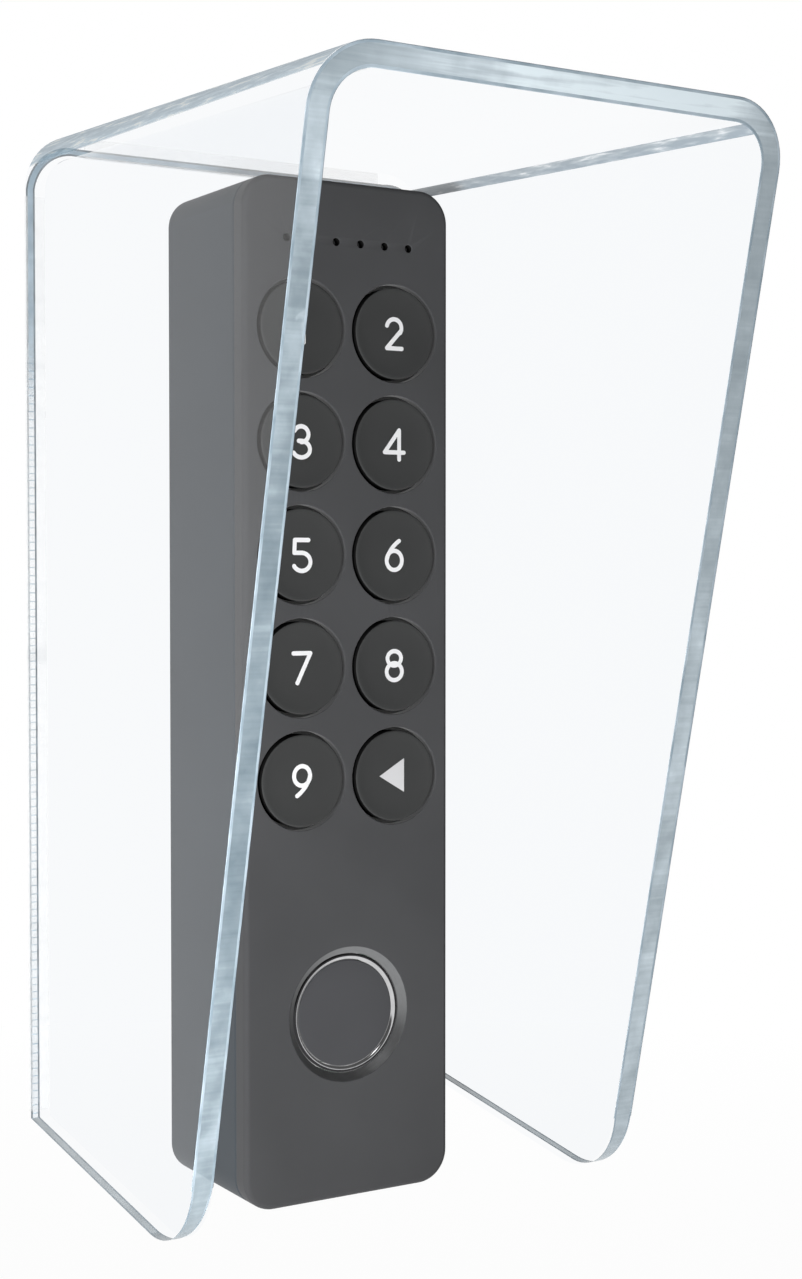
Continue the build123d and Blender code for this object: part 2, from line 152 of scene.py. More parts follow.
# Looks of the clear sheet
SHEET_TINT = (0.966, 0.974, 0.982, 1.0)
CUT_TINT = (0.88, 0.93, 0.96, 1.0)
GLOSS_SQUARE_ON = 0.02
GLOSS_EDGE_ON = 0.5
GLOSS_POWER = 5.0
BEND_SEEN = (0.72, 0.735)
BEND_LINE_SEEN = (0.82, 0.76)
LEFT_BEND_PAINTED_SHARE = 0.7
FLECK_SCALE = 1300.0
FLECK_STRETCH = (1.0, 0.16, 1.0)
ACROSS_SHEET = (0.05, 0.05, 1.0)
SHEET_HAZE = (0.01, 0.03)
CLOUDS_BELOW, CLOUDS_OVER = 1.1, 0.6
LINES_BELOW, LINES_OVER = 0.4, 0.95
CUT_MIDDLE = 0.74
CUT_SHARE = 0.84
TICK_SCALE = 290.0
TICK_WOBBLE = 7.0
TICK_SEEN = (0.95, 0.99)
TICK_SHARE = 0.75
FOOT_SHARE = 0.8
REAR_LINE_SHARE = 0.92
TAPE_SHARE = 0.12

# Camera
CAMERA_PLACE = (-138.21, -272.37, 76.42)
CAMERA_DIRECTION = (0.52178, 0.85251, -0.03134)
CAMERA_LENS = 57.82

# Studio
FLOOR_Z = -160.0
FLOOR_HALF = 4.0
FLOOR_FADE = (0.15, 0.8, 0.94, 1.0)
LAMP_TARGET = (5.0, -20.0, 60.0)
SOFT_LIGHT = 0.28
DIM_ROOM = (0.12, 0.12, 0.12)
WHITE = (1.0, 1.0, 1.0, 1.0)

# Where the room turns bright for the gloss: from and to, along a direction's Y, X and Z
BEHIND = (0.55, 0.72)
LEFTWARD = (0.62, 0.45)
LOW_DOWN = (0.12, -0.02)
OPEN_SIDE = (0.95, 0.6)


def box_mm(node):
    """A node's lowest and highest corners in millimetres."""
    low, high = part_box(node)
    return low / MM, high / MM


def circle(radius, x=0.0, z=0.0, steps=CIRCLE_STEPS):
    turn = 2 * math.pi / steps
    return [(x + radius * math.cos(i * turn), z + radius * math.sin(i * turn)) for i in range(steps)]


def quarter_arc(steps=RIM_STEPS):
    """Pairs of (1 - cos, sin) over a quarter turn, for a rounded edge."""
    angles = [math.pi / 2 * i / steps for i in range(steps + 1)]
    return [(1 - math.cos(a), math.sin(a)) for a in angles]


def rounded_edge(radius, front, rim, side=1, steps=RIM_STEPS):
    """(radius, depth) points round a front edge. A side of -1 rounds away from the axis."""
    return [(radius - side * rim * inward, front - rim + rim * forward)
            for inward, forward in quarter_arc(steps)]


# Materials


def node_material(name):
    material = bpy.data.materials.new(name)
    material.use_nodes = True
    tree = material.node_tree
    return material, tree.nodes, tree.links, tree.nodes["Principled BSDF"]


def noise(nodes, links, scale, detail=3.0, stretch=(1.0, 1.0, 1.0)):
    """Noise in object coordinates, its scale in features per metre."""
    place = nodes.new("ShaderNodeTexCoord")
    mapping = nodes.new("ShaderNodeMapping")
    mapping.inputs["Scale"].default_value = stretch
    texture = nodes.new("ShaderNodeTexNoise")
    texture.inputs["Scale"].default_value = scale
    texture.inputs["Detail"].default_value = detail
    links.new(place.outputs["Object"], mapping.inputs["Vector"])
    links.new(mapping.outputs["Vector"], texture.inputs["Vector"])
    return texture.outputs["Fac"]


def step(nodes, links, value, start, end, low=0.0, high=1.0):
    """The value's way from start to end, moved to low..high and held there."""
    node = nodes.new("ShaderNodeMapRange")
    node.inputs["From Min"].default_value = start
    node.inputs["From Max"].default_value = end
    node.inputs["To Min"].default_value = low
    node.inputs["To Max"].default_value = high
    links.new(value, node.inputs["Value"])
    return node.outputs["Result"]


def spread(nodes, links, value, low, high):
    """The value from 0..1 moved to low..high."""
    return step(nodes, links, value, 0.0, 1.0, low, high)


def ramp(nodes, links, value, stops):
    node = nodes.new("ShaderNodeValToRGB")
    elements = node.color_ramp.elements
    while len(elements) < len(stops):
        elements.new(0.5)
    for element, (position, colour) in zip(elements, stops):
        element.position = position
        element.color = (*colour, 1.0)
    links.new(value, node.inputs["Fac"])
    return node.outputs["Color"]


def bump(nodes, links, height, depth_mm, strength=1.0):
    node = nodes.new("ShaderNodeBump")
    node.inputs["Strength"].default_value = strength
    node.inputs["Distance"].default_value = depth_mm * MM
    links.new(height, node.inputs["Height"])
    return node


def moulded_plastic(name, colour, roughness, grain_mm=GRAIN_DEPTH, grain_scale=GRAIN_SCALE,
                    specular=0.5):
    """Plastic with the fine grain of a spark-eroded mould and a slight unevenness of tone."""
    material, nodes, links, shader = node_material(name)
    tone = noise(nodes, links, TONE_SCALE, 4.0)
    dark = tuple(c * (1 - TONE_SWING) for c in colour)
    light = tuple(c * (1 + TONE_SWING) for c in colour)
    links.new(ramp(nodes, links, tone, [(0.3, dark), (0.7, light)]), shader.inputs["Base Color"])
    grain = noise(nodes, links, grain_scale, 2.0)
    links.new(spread(nodes, links, grain, roughness - GRAIN_ROUGHNESS, roughness + GRAIN_ROUGHNESS),
              shader.inputs["Roughness"])
    links.new(bump(nodes, links, grain, grain_mm, GRAIN_STRENGTH).outputs["Normal"],
              shader.inputs["Normal"])
    shader.inputs["Specular IOR Level"].default_value = specular
    return material


def metal(name, colour, roughness, stretch=DRAWN):
    """Metal with a drawn or turned grain."""
    material, nodes, links, shader = node_material(name)
    grain = noise(nodes, links, METAL_SCALE, 3.0, stretch)
    links.new(spread(nodes, links, grain, roughness * (1 - METAL_SWING),
                     roughness * (1 + METAL_SWING)), shader.inputs["Roughness"])
    dark = tuple(c * METAL_DARK for c in colour)
    links.new(ramp(nodes, links, grain, [(0.3, dark), (0.7, colour)]), shader.inputs["Base Color"])
    shader.inputs["Metallic"].default_value = 1.0
    return material


def math_node(nodes, links, operation, *values):
    node = nodes.new("ShaderNodeMath")
    node.operation = operation
    for socket, value in zip(node.inputs, values):
        if isinstance(value, (int, float)):
            socket.default_value = value
        else:
            links.new(value, socket)
    return node.outputs[0]


def mix_shaders(nodes, links, amount, first, second):
    mix = nodes.new("ShaderNodeMixShader")
    if isinstance(amount, float):
        mix.inputs["Fac"].default_value = amount
    else:
        links.new(amount, mix.inputs["Fac"])
    links.new(first, mix.inputs[1])
    links.new(second, mix.inputs[2])
    return mix.outputs[0]


def facing(nodes, links):
    """0 where a face is seen square on, 1 where it is seen edge on."""
    weight = nodes.new("ShaderNodeLayerWeight")
    weight.inputs["Blend"].default_value = 0.5
    return weight.outputs["Facing"]


def clear_face(nodes, links):
    """A polished face of thin clear sheet: a faint cool tint, and more gloss at a glance."""
    through = nodes.new("ShaderNodeBsdfTransparent")
    through.inputs["Color"].default_value = SHEET_TINT
    mirror = nodes.new("ShaderNodeBsdfGlossy")
    mirror.inputs["Color"].default_value = WHITE
    haze = noise(nodes, links, 60.0, 4.0)
    links.new(spread(nodes, links, haze, *SHEET_HAZE), mirror.inputs["Roughness"])
    steep = math_node(nodes, links, "POWER", facing(nodes, links), GLOSS_POWER)
    gloss = math_node(nodes, links, "MULTIPLY_ADD", steep, GLOSS_EDGE_ON, GLOSS_SQUARE_ON)
    return mix_shaders(nodes, links, gloss, through.outputs[0], mirror.outputs[0])


def show(nodes, links, surface):
    links.new(surface, nodes["Material Output"].inputs["Surface"])


def stained(name, scale, detail, stops, roughness, stretch=(1.0, 1.0, 1.0)):
    """A material whose colour wanders along the stops."""
    material, nodes, links, shader = node_material(name)
    stain = noise(nodes, links, scale, detail, stretch)
    links.new(ramp(nodes, links, stain, stops), shader.inputs["Base Color"])
    shader.inputs["Roughness"].default_value = roughness
    return material, nodes, links, shader


def film(share, *look):
    """A stained layer of the given share that lets the rest of the light straight through."""
    material, nodes, links, shader = stained(*look)
    through = nodes.new("ShaderNodeBsdfTransparent")
    show(nodes, links, mix_shaders(nodes, links, share, through.outputs[0], shader.outputs[0]))
    return material


def acrylic():
    material, nodes, links, shader = node_material("clear_acrylic")
    nodes.remove(shader)
    show(nodes, links, clear_face(nodes, links))
    return material


def clear_edge():
    """The polished part of a cut edge, which is all but unseen."""
    material, nodes, links, shader = node_material("clear_edge")
    nodes.remove(shader)
    through = nodes.new("ShaderNodeBsdfTransparent")
    sheen = noise(nodes, links, 400.0, 2.0)
    links.new(ramp(nodes, links, sheen, [(0.3, (0.985, 0.989, 0.993)), (0.7, (1.0, 1.0, 1.0))]),
              through.inputs["Color"])
    show(nodes, links, through.outputs[0])
    return material


def bend():
    """The sheet's outer bend, painted a deeper blue-grey where it is seen along its thickness:
    partly the sheet's own tint over a long path, partly painted shade, and painted paler on the left
    bend.
    """
    stops = [(0.42, (0.40, 0.56, 0.68)), (0.58, (0.58, 0.76, 0.88)), (0.64, (0.92, 1.0, 1.0))]
    material, nodes, links, shader = stained("bend", FLECK_SCALE, 3.0, stops, 0.25, FLECK_STRETCH)
    shader.inputs["Specular IOR Level"].default_value = 0.0
    # painted shade: the left bend takes a smaller share of the painted blue-grey than the right, so
    # it is paler
    x, _, _ = object_axes(nodes, links)
    on_left = math_node(nodes, links, "LESS_THAN", x, 0.0)
    painted_side_share = spread(nodes, links, on_left, 1.0, LEFT_BEND_PAINTED_SHARE)
    edge_on = step(nodes, links, facing(nodes, links), *BEND_SEEN)
    amount = math_node(nodes, links, "MULTIPLY", edge_on, painted_side_share)
    show(nodes, links, mix_shaders(nodes, links, amount, clear_face(nodes, links),
                                   shader.outputs[0]))
    return material


def bend_line():
    """A painted line of shade along the inside of a bend, cool grey with pale flecks, shown only
    where the face is seen more square on.
    """
    stops = [(0.42, (0.34, 0.41, 0.47)), (0.60, (0.50, 0.57, 0.62)), (0.70, (0.85, 0.89, 0.92))]
    material, nodes, links, shader = stained("bend_line", FLECK_SCALE, 3.0, stops, 0.25,
                                             FLECK_STRETCH)
    square_on = step(nodes, links, facing(nodes, links), *BEND_LINE_SEEN)
    show(nodes, links, mix_shaders(nodes, links, square_on, clear_face(nodes, links),
                                   shader.outputs[0]))
    return material


def edge_line():
    """The thin broken corner between a face and a cut edge, painted a dark blue-grey as a line of
    shade.
    """
    stops = [(0.35, (0.27, 0.35, 0.41)), (0.65, (0.45, 0.54, 0.61))]
    return stained("edge_line", 250.0, 3.0, stops, 0.25)[0]


def object_axes(nodes, links):
    place = nodes.new("ShaderNodeTexCoord")
    axes = nodes.new("ShaderNodeSeparateXYZ")
    links.new(place.outputs["Object"], axes.inputs[0])
    return axes.outputs["X"], axes.outputs["Y"], axes.outputs["Z"]


def painted_tone_ramp(nodes, links, value, start, end, stops):
    """A painted level of light and shade that follows the value from start to end, in millimetres,
    through the stops.
    """
    share = step(nodes, links, value, start * MM, end * MM)
    return ramp(nodes, links, share, [(at, (g, g, g)) for at, g in stops])


def mix_values(nodes, links, share, first, second):
    mix = nodes.new("ShaderNodeMix")
    links.new(share, mix.inputs["Factor"])
    links.new(first, mix.inputs["A"])
    links.new(second, mix.inputs["B"])
    return mix.outputs["Result"]


def cut_edge():
    """Laser-cut edge: cool grey, with fine lines across the sheet, and paler and darker lengths of
    painted light and shade that differ between the left side, the right side and the top.
    """
    material, nodes, links, shader = node_material("cut_edge")
    low, high = box_mm("rain_hood")
    x, _, z = object_axes(nodes, links)
    # painted light and shade: the left side, the right side and the top each take their own paler
    # and darker lengths
    left = painted_tone_ramp(nodes, links, z, low.z, high.z,
                     [(0.0, 0.25), (0.1, 0.5), (0.3, 0.12), (0.65, 0.28), (0.95, 0.72)])
    right = painted_tone_ramp(nodes, links, z, low.z, high.z,
                      [(0.0, 0.5), (0.15, 0.55), (0.6, 0.38), (0.85, 0.12), (1.0, 0.2)])
    top = painted_tone_ramp(nodes, links, x, low.x, high.x,
                    [(0.03, 0.1), (0.18, 0.48), (0.45, 0.92), (0.85, 1.1), (0.96, 0.4)])
    on_right = math_node(nodes, links, "GREATER_THAN", x, 0.0)
    sides = mix_values(nodes, links, on_right, left, right)
    bend_top = high.z - TOP_FALL - SHEET
    over = step(nodes, links, z, (bend_top - BEND_INNER) * MM, bend_top * MM)
    level = mix_values(nodes, links, over, sides, top)
    clouds = noise(nodes, links, 210.0, 4.0, (1.0, 1.0, 0.8))
    lines = noise(nodes, links, 1500.0, 2.0, ACROSS_SHEET)
    cloud_share = spread(nodes, links, over, CLOUDS_BELOW, CLOUDS_OVER)
    line_share = spread(nodes, links, over, LINES_BELOW, LINES_OVER)
    clouded = math_node(nodes, links, "MULTIPLY_ADD", clouds, cloud_share, level)
    lined = math_node(nodes, links, "MULTIPLY_ADD", lines, line_share, clouded)
    centred = math_node(nodes, links, "SUBTRACT", lined, CUT_MIDDLE)
    stops = [(0.0, (0.17, 0.23, 0.27)), (0.33, (0.275, 0.345, 0.39)),
             (0.66, (0.47, 0.56, 0.62)), (1.0, (0.82, 0.94, 1.0))]
    links.new(ramp(nodes, links, centred, stops), shader.inputs["Base Color"])
    shader.inputs["Roughness"].default_value = 0.3
    links.new(bump(nodes, links, lines, 0.03, 0.4).outputs["Normal"], shader.inputs["Normal"])
    through = nodes.new("ShaderNodeBsdfTransparent")
    through.inputs["Color"].default_value = CUT_TINT
    show(nodes, links, mix_shaders(nodes, links, CUT_SHARE, through.outputs[0],
                                   shader.outputs[0]))
    return material


def rear_edge():
    """The edge on the wall: cool grey under the top, paler and finely ticked down the sides; how
    much grey it shows at each height is painted shade.
    """
    tones = [(0.35, (0.28, 0.38, 0.46)), (0.65, (0.44, 0.55, 0.63))]
    material, nodes, links, shader = stained("rear_edge", 300.0, 3.0, tones, 0.35)
    low, high = box_mm("rain_hood")
    _, _, z = object_axes(nodes, links)
    # painted shade: the grey layer's share changes with height, greyest under the top and all but
    # clear part way down
    frost_and_painted_shade = painted_tone_ramp(nodes, links, z, low.z, high.z,
                        [(0.0, 0.3), (0.3, 0.1), (0.55, 0.03), (0.72, 0.2), (0.8, 0.9), (0.95, 1.0)])
    ticks = nodes.new("ShaderNodeTexWave")
    ticks.bands_direction = "Z"
    ticks.inputs["Scale"].default_value = TICK_SCALE
    ticks.inputs["Distortion"].default_value = TICK_WOBBLE
    ticks.inputs["Detail"].default_value = 1.0
    ticks.inputs["Detail Scale"].default_value = 0.4
    place = nodes.new("ShaderNodeTexCoord")
    across = nodes.new("ShaderNodeMapping")
    across.inputs["Scale"].default_value = ACROSS_SHEET
    links.new(place.outputs["Object"], across.inputs["Vector"])
    links.new(across.outputs["Vector"], ticks.inputs["Vector"])
    mark = step(nodes, links, ticks.outputs["Fac"], *TICK_SEEN)
    cover = math_node(nodes, links, "MULTIPLY_ADD", mark, TICK_SHARE, frost_and_painted_shade)
    through = nodes.new("ShaderNodeBsdfTransparent")
    amount = math_node(nodes, links, "MINIMUM", cover, 1.0)
    show(nodes, links, mix_shaders(nodes, links, amount, through.outputs[0], shader.outputs[0]))
    return material


def foot_edge():
    """The straight cut under each side."""
    stops = [(0.35, (0.29, 0.38, 0.43)), (0.65, (0.54, 0.64, 0.70))]
    return film(FOOT_SHARE, "foot_edge", 160.0, 4.0, stops, 0.3)


def rear_line():
    """The two borders of the band of frost and painted shade, painted a deeper grey as lines of
    shade.
    """
    stops = [(0.35, (0.05, 0.075, 0.095)), (0.65, (0.16, 0.21, 0.25))]
    return film(REAR_LINE_SHARE, "rear_line", 500.0, 3.0, stops, 0.35)


def tape():
    """Clear double-sided tape with trapped air as short pale and grey ticks."""
    stops = [(0.30, (0.45, 0.50, 0.54)), (0.44, (0.88, 0.91, 0.93)), (0.75, (0.97, 0.98, 0.99))]
    return film(TAPE_SHARE, "clear_tape", 500.0, 3.0, stops, 0.35, (0.05, 1.0, 1.0))


def clear_moulded(name, colour, roughness):
    material, nodes, links, shader = node_material(name)
    cloud = noise(nodes, links, 400.0, 2.0)
    links.new(spread(nodes, links, cloud, roughness * 0.8, roughness * 1.2),
              shader.inputs["Roughness"])
    shader.inputs["Base Color"].default_value = (*colour, 1.0)
    shader.inputs["Transmission Weight"].default_value = 0.8
    shader.inputs["IOR"].default_value = 1.5
    return material


def circuit_board_material():
    """Green solder mask, slightly raised over its copper runs."""
    material, nodes, links, shader = node_material("board")
    place = nodes.new("ShaderNodeTexCoord")
    runs = nodes.new("ShaderNodeTexBrick")
    runs.inputs["Scale"].default_value = 260.0
    runs.inputs["Mortar Size"].default_value = 0.03
    runs.inputs["Color1"].default_value = (0.010, 0.085, 0.040, 1.0)
    runs.inputs["Color2"].default_value = (0.014, 0.100, 0.048, 1.0)
    runs.inputs["Mortar"].default_value = (0.030, 0.150, 0.075, 1.0)
    turned = nodes.new("ShaderNodeMapping")
    turned.inputs["Rotation"].default_value = (math.radians(90), 0.0, 0.0)
    links.new(place.outputs["Object"], turned.inputs["Vector"])
    links.new(turned.outputs["Vector"], runs.inputs["Vector"])
    links.new(runs.outputs["Color"], shader.inputs["Base Color"])
    links.new(bump(nodes, links, runs.outputs["Fac"], 0.03).outputs["Normal"],
              shader.inputs["Normal"])
    shader.inputs["Roughness"].default_value = 0.35
    return material


def cell_sleeve():
    """The cells' dark printed sleeve, faintly scuffed."""
    stops = [(0.35, (0.035, 0.042, 0.055)), (0.7, (0.060, 0.070, 0.090))]
    material, _, _, shader = stained("cell_sleeve", 180.0, 5.0, stops, 0.3)
    shader.inputs["Metallic"].default_value = 0.4
    return material


def make_materials():
    dark = (0.064, 0.065, 0.068)
    return {
        "clear_acrylic": acrylic(),
        "clear_edge": clear_edge(),
        "bend": bend(),
        "bend_line": bend_line(),
        "cut_edge": cut_edge(),
        "rear_edge": rear_edge(),
        "foot_edge": foot_edge(),
        "rear_line": rear_line(),
        "edge_line": edge_line(),
        "clear_tape": tape(),
        "foam_pad": moulded_plastic("foam_pad", (0.08, 0.08, 0.08), 0.9, 0.12, 900.0, 0.2),
        "plate_plastic": moulded_plastic("plate_plastic", (0.045, 0.045, 0.048), 0.55),
        "housing_plastic": moulded_plastic("housing_plastic", dark, 0.55, specular=0.3),
        # painted shade: the case is a darker, bluer copy of the housing plastic, so that its side
        # reads shaded
        "case_plastic": moulded_plastic("case_plastic", (0.052, 0.061, 0.070), 0.55, specular=0.3),
        "flare_metal": metal("flare_metal", (0.28, 0.285, 0.29), 0.45, TURNED),
        "key_plastic": moulded_plastic("key_plastic", (0.043, 0.044, 0.044), 0.55, specular=0.25),
        # painted shade: a near-black, unglossy copy of the plastic for the key sides and the light
        # holes' walls, standing in for the shade in the gaps
        "groove": moulded_plastic("groove", (0.010, 0.010, 0.010), 0.8, specular=0.0),
        "silicone": moulded_plastic("silicone", (0.30, 0.30, 0.30), 0.7, 0.01, 1500.0),
        "board": circuit_board_material(),
        "spring_metal": metal("spring_metal", (0.62, 0.61, 0.58), 0.28),
        "component_black": moulded_plastic("component_black", (0.02, 0.02, 0.02), 0.45),
        # painted shade: the clear parts behind the light holes are tinted near-black so that the
        # holes read dark
        "clear_plastic": clear_moulded("clear_plastic", (0.06, 0.06, 0.065), 0.25),
        "sensor_face": moulded_plastic("sensor_face", (0.046, 0.047, 0.052), 0.35, 0.004, 3000.0),
        "bezel_metal": metal("bezel_metal", (0.045, 0.045, 0.047), 0.2, TURNED),
        "lip_metal": metal("lip_metal", (0.62, 0.62, 0.63), 0.12, TURNED),
        "cell_sleeve": cell_sleeve(),
        "screw_steel": metal("screw_steel", (0.50, 0.50, 0.50), 0.3),
        "ink": moulded_plastic("ink", (0.88, 0.88, 0.89), 0.6, 0.005, 2000.0),
        "grey_ink": moulded_plastic("grey_ink", (0.66, 0.66, 0.67), 0.6, 0.005, 2000.0),
    }


MATERIALS = make_materials()


# Mesh helpers


def add_object(name, data):
    added = bpy.data.objects.new(name, data)
    bpy.context.scene.collection.objects.link(added)
    return added


def smooth(mesh, sharp_angle, merge=0.0, outwards=True):
    """Merges close points, turns the faces outwards and smooths between sharp edges."""
    work = bmesh.new()
    work.from_mesh(mesh)
    if merge:
        bmesh.ops.remove_doubles(work, verts=work.verts, dist=merge)
    if outwards:
        bmesh.ops.recalc_face_normals(work, faces=work.faces)
    work.to_mesh(mesh)
    work.free()
    mesh.polygons.foreach_set("use_smooth", [True] * len(mesh.polygons))
    mesh.set_sharp_from_angle(angle=math.radians(sharp_angle))


def make_piece(name, vertices, faces, body, materials):
    """A closed mesh from millimetre vertices, smooth except at its sharp edges."""
    mesh = bpy.data.meshes.new(name)
    mesh.from_pydata([Vector(v) * MM for v in vertices], [], faces)
    smooth(mesh, SHARP_ANGLE, MERGE)
    for material in materials:
        mesh.materials.append(MATERIALS[material])
    piece = add_object(name, mesh)
    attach(piece, body)
    return piece


def finish_mesh(piece):
    """Puts the piece's modifiers into its mesh."""
    ready = piece.evaluated_get(bpy.context.evaluated_depsgraph_get())
    mesh = bpy.data.meshes.new_from_object(ready)
    piece.modifiers.clear()
    piece.data = mesh


def weigh_normals(piece):
    """Keeps the flat faces flat beside small rounded edges."""
    modifier = piece.modifiers.new("weighted_normals", "WEIGHTED_NORMAL")
    modifier.keep_sharp = True


class Builder:
    """Collects loops of points and the faces between them."""

    def __init__(self):
        self.vertices = []
        self.faces = []

    def loop(self, points, depth):
        """Adds points of the front view at one depth and returns their numbers."""
        start = len(self.vertices)
        self.vertices += [(x, -depth, z) for x, z in points]
        return list(range(start, start + len(points)))

    def bridge(self, first, second):
        count = len(first)
        for i in range(count):
            j = (i + 1) % count
            self.faces.append((first[i], first[j], second[j], second[i]))

    def bridge_all(self, loops):
        for first, second in zip(loops, loops[1:]):
            self.bridge(first, second)

    def cap(self, loops):
        """Fills the flat region inside the first loop and outside the others, which are round."""
        numbers = [n for loop in loops for n in loop]
        owners = [k for k, loop in enumerate(loops) for _ in loop]
        flat = [Vector((self.vertices[n][0], self.vertices[n][2])) for n in numbers]
        edges = []
        start = 0
        for loop in loops:
            count = len(loop)
            edges += [(start + i, start + (i + 1) % count) for i in range(count)]
            start += count
        _, _, triangles, origins = delaunay_2d_cdt(flat, edges, [], INSIDE_ONLY, FLAT_MERGE)[:4]
        for triangle in triangles:
            corners = [origins[i][0] for i in triangle]
            inside = {owners[i] for i in corners}
            if len(inside) > 1 or inside == {0}:
                self.faces.append(tuple(numbers[i] for i in corners))


def lathe(name, centre, profile, closed, body, materials):
    """Turns (radius, depth) points round an axis along Y. A closed profile makes a ring."""
    build = Builder()
    x, z = centre
    if closed:
        loops = [build.loop(circle(radius, x, z), depth) for radius, depth in profile]
        build.bridge_all(loops + [loops[0]])
    else:
        loops = [build.loop(circle(radius, x, z), depth) for radius, depth in profile[1:-1]]
        build.bridge_all(loops)
        for (_, depth), loop in ((profile[0], loops[0]), (profile[-1], loops[-1])):
            middle = len(build.vertices)
            build.vertices.append((x, -depth, z))
            count = len(loop)
            build.faces += [(loop[i], loop[(i + 1) % count], middle) for i in range(count)]
    return make_piece(name, build.vertices, build.faces, body, materials)


# The hood


def hood_rim(half_width, top_drop, radius):
    """One surface's U across the fall, as (x, height below the outer top), left foot first."""
    middle_x = half_width - radius
    middle_h = -top_drop - radius
    points = []
    for side, start in ((-1, math.pi), (1, math.pi / 2)):
        for i in range(BEND_STEPS + 1):
            angle = start - math.pi / 2 * i / BEND_STEPS
            points.append((side * middle_x + radius * math.cos(angle),
                           middle_h + radius * math.sin(angle)))
    return points


def hood_corner(low_front, low_rear, slant):
    """A side's rounded lower corner, as points (y, z) from the foot to the slanted front."""
    towards_rear = (low_rear - low_front).normalized()
    towards_top = Vector((-slant, 1.0)).normalized()
    opening = towards_rear.angle(towards_top)
    tangent = CORNER_RADIUS / math.tan(opening / 2)
    bisector = (towards_rear + towards_top).normalized()
    middle = low_front + bisector * (CORNER_RADIUS / math.sin(opening / 2))
    start = low_front + towards_rear * tangent - middle
    end = low_front + towards_top * tangent - middle
    first = math.atan2(start.y, start.x)
    turn = math.atan2(end.y, end.x) - first
    turn = (turn + math.pi) % (2 * math.pi) - math.pi
    angles = [first + turn * i / CORNER_STEPS for i in range(CORNER_STEPS + 1)]
    return [middle + Vector((math.cos(a), math.sin(a))) * CORNER_RADIUS for a in angles]


def hood_mesh():
    """The hood's vertices and faces, and the material that each face takes.

    Both surfaces are one loop each: along the rear rim, down the right foot, back along the
    front rim and up the left foot. The cut edge between them is made of five strips.
    """
    low, high = box_mm("rain_hood")
    half = (high.x - low.x) / 2
    rear, top, reach = high.y, high.z, -low.y
    run = reach + rear
    fall = math.atan2(TOP_FALL, run)
    sine, cosine = math.sin(fall), math.cos(fall)
    slant = (reach - LOW_DEPTH) / (top - TOP_FALL + BOTTOM_FALL)
    low_front = Vector((-LOW_DEPTH, -BOTTOM_FALL))
    low_rear = Vector((rear, 0.0))

    def rear_point(x, h):
        """The point of the surface line at x and h that lies in the rear cut."""
        along = -h * sine / cosine
        return (x, rear, top + h * cosine - along * sine)

    def front_point(x, h):
        """The point of the surface line at x and h that lies in the slanted front cut."""
        rise = top + BOTTOM_FALL + h * cosine
        along = (rear + LOW_DEPTH + rise * slant - h * sine) / (cosine + sine * slant)
        return (x, rear - h * sine - along * cosine, top + h * cosine - along * sine)

    corner = hood_corner(low_front, low_rear, slant)
    surfaces = []
    for x, drop, radius in ((half, 0.0, BEND_INNER + SHEET), (half - SHEET, SHEET, BEND_INNER)):
        rim = hood_rim(x, drop, radius)
        feet = []
        for side in (-x, x):
            foot = [(side, low_rear.x, low_rear.y)]
            foot += [(side, p.x, p.y) for p in corner]
            feet.append(foot)
        surfaces.append(([rear_point(*p) for p in rim], [front_point(*p) for p in rim], *feet))

    vertices = []
    faces = []
    kinds = []
    loops = []
    for rear_rim, front_rim, left_foot, right_foot in surfaces:
        start = len(vertices)
        loop = rear_rim + right_foot + front_rim[::-1] + left_foot[::-1]
        vertices += loop
        count = len(rear_rim)
        foot_count = len(right_foot)
        numbers = list(range(start, start + len(loop)))
        rear_numbers = numbers[:count]
        right_numbers = numbers[count:count + foot_count]
        front_numbers = numbers[count + foot_count:2 * count + foot_count][::-1]
        left_numbers = numbers[2 * count + foot_count:][::-1]
        outside = len(loops) == 0
        for i in range(count - 1):
            faces.append((rear_numbers[i], rear_numbers[i + 1],
                          front_numbers[i + 1], front_numbers[i]))
            kinds.append(bend_kind(i, outside))
        faces.append((rear_numbers[-1], *right_numbers, front_numbers[-1]))
        faces.append((rear_numbers[0], *left_numbers, front_numbers[0]))
        kinds += ["clear_acrylic", "clear_acrylic"]
        loops.append(numbers)
    outer, inner = loops
    foot_count = len(corner) + 1
    rungs = []
    for i, (near, far) in enumerate(zip(outer, inner)):
        rung = [near]
        start, end = band_at(i, foot_count)
        for share in (start, start + LINE_SHARE, end - LINE_SHARE, end):
            rung.append(len(vertices))
            vertices.append(tuple(Vector(vertices[near]).lerp(Vector(vertices[far]), share)))
        rungs.append(rung + [far])
    for i, rung in enumerate(rungs):
        following = rungs[(i + 1) % len(rungs)]
        at_rear = all(abs(vertices[other[0]][1] - rear) < REAR_MARGIN
                      for other in (rung, following))
        past_rim = i % (RIM_COUNT + foot_count) - RIM_COUNT
        if at_rear:
            strip_kinds = REAR_KINDS
        elif 0 <= past_rim < foot_count - 1:
            straight = math.dist(vertices[rung[0]], vertices[following[0]]) > CORNER_RADIUS
            strip_kinds = FOOT_KINDS if straight else CORNER_KINDS
        else:
            strip_kinds = FRONT_KINDS
        for k, kind in enumerate(strip_kinds):
            faces.append((rung[k], following[k], following[k + 1], rung[k + 1]))
            kinds.append(kind)
    return vertices, faces, kinds


